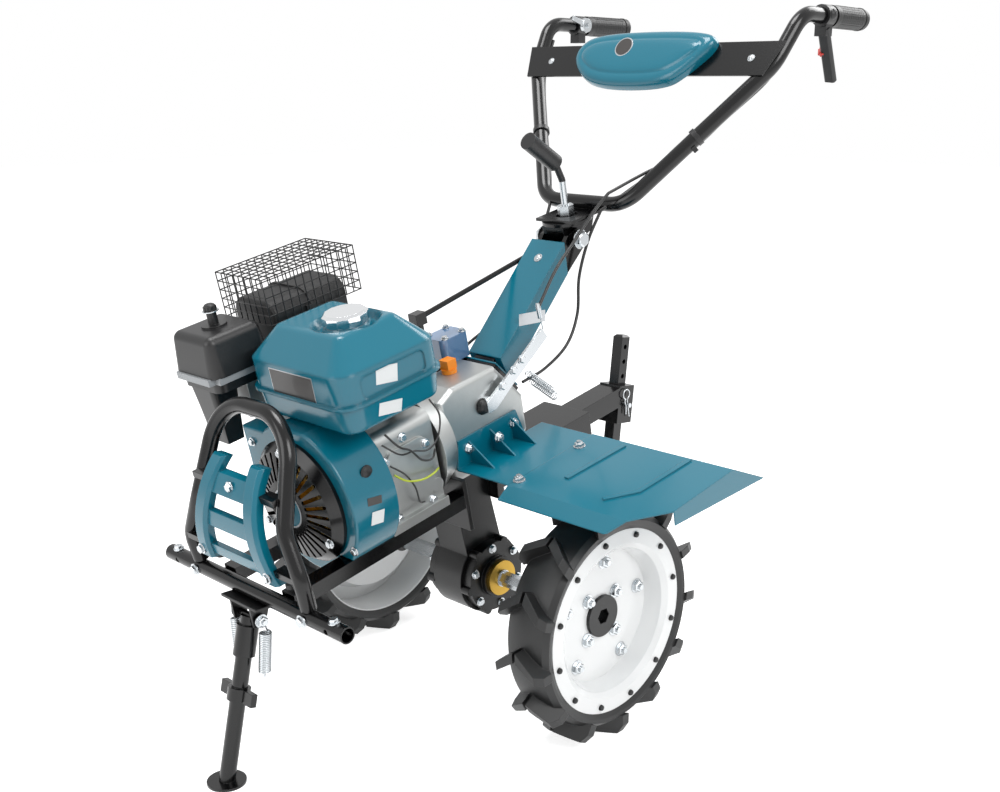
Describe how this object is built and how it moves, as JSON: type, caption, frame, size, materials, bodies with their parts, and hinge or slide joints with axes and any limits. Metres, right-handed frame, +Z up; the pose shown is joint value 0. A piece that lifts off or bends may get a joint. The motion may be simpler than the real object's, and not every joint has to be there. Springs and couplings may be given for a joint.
{
  "type": "rotary tiller",
  "caption": "Walk-behind two-wheel rotary tiller with a petrol engine, transport wheels, fenders, front bumper and stand, rear coulter and adjustable handlebar.",
  "frame": {"origin": "middle of the footprint at floor level, under the whole machine", "axes": "+X forward, +Y to the machine's left along the axle, +Z up; the machine stands nose down on its front stand"},
  "size_m": [1.256, 0.916, 1.1432],
  "materials": {
    "tyre": "moulded black rubber",
    "white_paint": "white gloss enamel",
    "black_paint": "black gloss powder coat",
    "teal_paint": "dark cyan gloss enamel",
    "cast_aluminium": "die-cast aluminium",
    "yellow_zinc": "yellow chromate zinc",
    "zinc": "bright zinc plate",
    "chrome": "polished chrome",
    "black_plastic": "textured black moulding",
    "grip_rubber": "ribbed black rubber",
    "orange_plastic": "orange moulding",
    "blue_cover": "blue-grey enamel under film",
    "muffler_black": "matt black heat-proof paint"
  },
  "bodies": {
    "root": {"gearbox_case": "black_paint", "gearbox_cover_left": "black_paint", "gearbox_cover_right": "black_paint", "axle_seals": "yellow_zinc", "transmission_housing": "cast_aluminium", "oil_plug": "orange_plastic", "selector_cover": "blue_cover", "column": "black_paint", "column_cover": "teal_paint", "engine_block": "cast_aluminium", "blower_housing": "teal_paint", "recoil_cover": "black_paint", "flywheel_fan": "yellow_zinc", "fuel_tank": "teal_paint", "fuel_cap": "chrome", "air_cleaner_cover": "black_plastic", "air_cleaner_base": "black_plastic", "carburettor": "cast_aluminium", "muffler": "muffler_black", "muffler_guard": "black_paint", "engine_rails": "black_paint", "cross_tube": "black_paint", "bumper_hoop": "black_paint", "bumper_grille": "teal_paint", "fender_inner_left": "teal_paint", "fender_inner_right": "teal_paint", "fender_outer_left": "teal_paint", "fender_outer_right": "teal_paint", "clutch_arm": "zinc", "shift_rod": "zinc", "hitch_bracket": "black_paint", "drawbar": "black_paint", "coulter": "black_paint", "stand_bracket": "black_paint"},
    "wheels": {"tyre_left": "tyre", "tyre_right": "tyre", "rim_left": "white_paint", "rim_right": "white_paint", "wheel_hubs": "black_paint", "axle": "black_paint"},
    "stand": {"stand_leg": "black_paint", "stand_springs": "zinc"},
    "handle_head": {"handle_head": "black_paint", "gear_lever": "chrome"},
    "handlebar": {"handlebar": "black_paint", "console_plate": "black_plastic", "console_cover": "teal_paint", "grips": "grip_rubber", "levers": "black_plastic"}
  },
  "joints": [
    {"name": "wheel_turn", "type": "hinge", "parent": "root", "child": "wheels", "pos_m": [0.069, 0, 0.2], "axis": [0, 1, 0], "continuous": true},
    {"name": "stand_fold", "type": "hinge", "parent": "root", "child": "stand", "pos_m": [0.539, 0, 0.258], "axis": [0, 1, 0], "range_deg": [0, 100], "deforming": ["stand_springs"]},
    {"name": "handle_height", "type": "hinge", "parent": "root", "child": "handle_head", "pos_m": [-0.14551, 0, 0.75939], "axis": [0, 1, 0], "range_deg": [-20, 15]},
    {"name": "handle_swivel", "type": "hinge", "parent": "handle_head", "child": "handlebar", "pos_m": [-0.15808, 0, 0.78663], "axis": [0.2096, 0, 0.9778], "range_deg": [-30, 30]}
  ]
}
